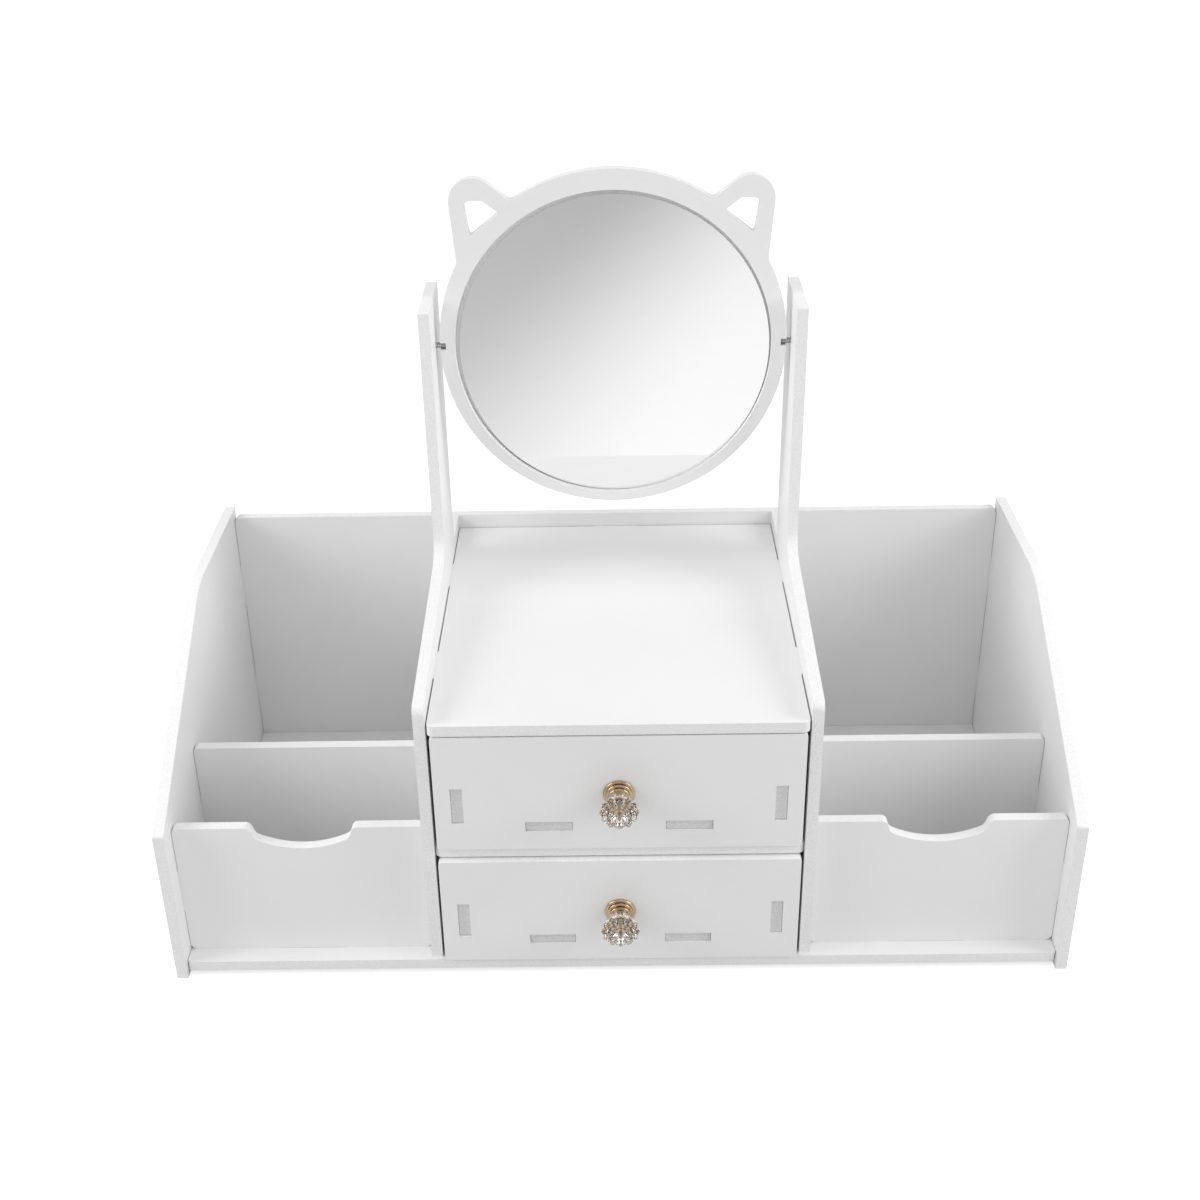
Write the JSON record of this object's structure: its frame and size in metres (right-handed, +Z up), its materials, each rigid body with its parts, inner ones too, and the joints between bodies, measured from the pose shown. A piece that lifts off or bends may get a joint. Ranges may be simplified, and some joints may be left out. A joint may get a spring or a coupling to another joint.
{
  "type": "makeup organizer with mirror",
  "caption": "White slotted-board desktop organizer: open bins on both sides, two drawers with crystal knobs in the middle, round eared mirror that tilts between two posts.",
  "frame": {"origin": "middle of the footprint's bounding box on the ground, with the knobs counted in its depth", "axes": "+X to the right of a person who faces the drawers, +Y to the back, +Z up"},
  "size_m": [0.4, 0.2084, 0.3267],
  "materials": {
    "board": "white foamed plastic board with smooth satin faces and slightly open cut edges",
    "plate": "white moulded plate, satin",
    "mirror": "silvered clear glass",
    "gilt": "polished, champagne gold",
    "crystal": "clear cut acrylic",
    "steel": "zinc plated, semi bright"
  },
  "bodies": {
    "carcass": {"left_side_panel": "board", "right_side_panel": "board", "base_board": "board", "back_panel": "board", "left_divider": "board", "right_divider": "board", "top_panel": "board", "drawer_shelf": "board", "left_partition": "board", "right_partition": "board", "left_front_panel": "board", "right_front_panel": "board"},
    "upper_drawer": {"upper_drawer_front": "board", "upper_drawer_left_side": "board", "upper_drawer_right_side": "board", "upper_drawer_back": "board", "upper_drawer_bottom": "board", "upper_knob_flange": "gilt", "upper_knob_crystal": "crystal", "upper_knob_screw": "steel"},
    "lower_drawer": {"lower_drawer_front": "board", "lower_drawer_left_side": "board", "lower_drawer_right_side": "board", "lower_drawer_back": "board", "lower_drawer_bottom": "board", "lower_knob_flange": "gilt", "lower_knob_crystal": "crystal", "lower_knob_screw": "steel"},
    "mirror": {"mirror_ring": "board", "mirror_glass": "mirror", "mirror_back_plate": "plate", "left_pivot_screw": "steel", "right_pivot_screw": "steel"}
  },
  "joints": [
    {"name": "upper_drawer_slide", "type": "slide", "parent": "carcass", "child": "upper_drawer", "axis": [0, -1, 0], "range_m": [0, 0.145]},
    {"name": "lower_drawer_slide", "type": "slide", "parent": "carcass", "child": "lower_drawer", "axis": [0, -1, 0], "range_m": [0, 0.145]},
    {"name": "mirror_tilt", "type": "hinge", "parent": "carcass", "child": "mirror", "pos_m": [0, 0.05025, 0.248], "axis": [1, 0, 0], "continuous": true}
  ]
}
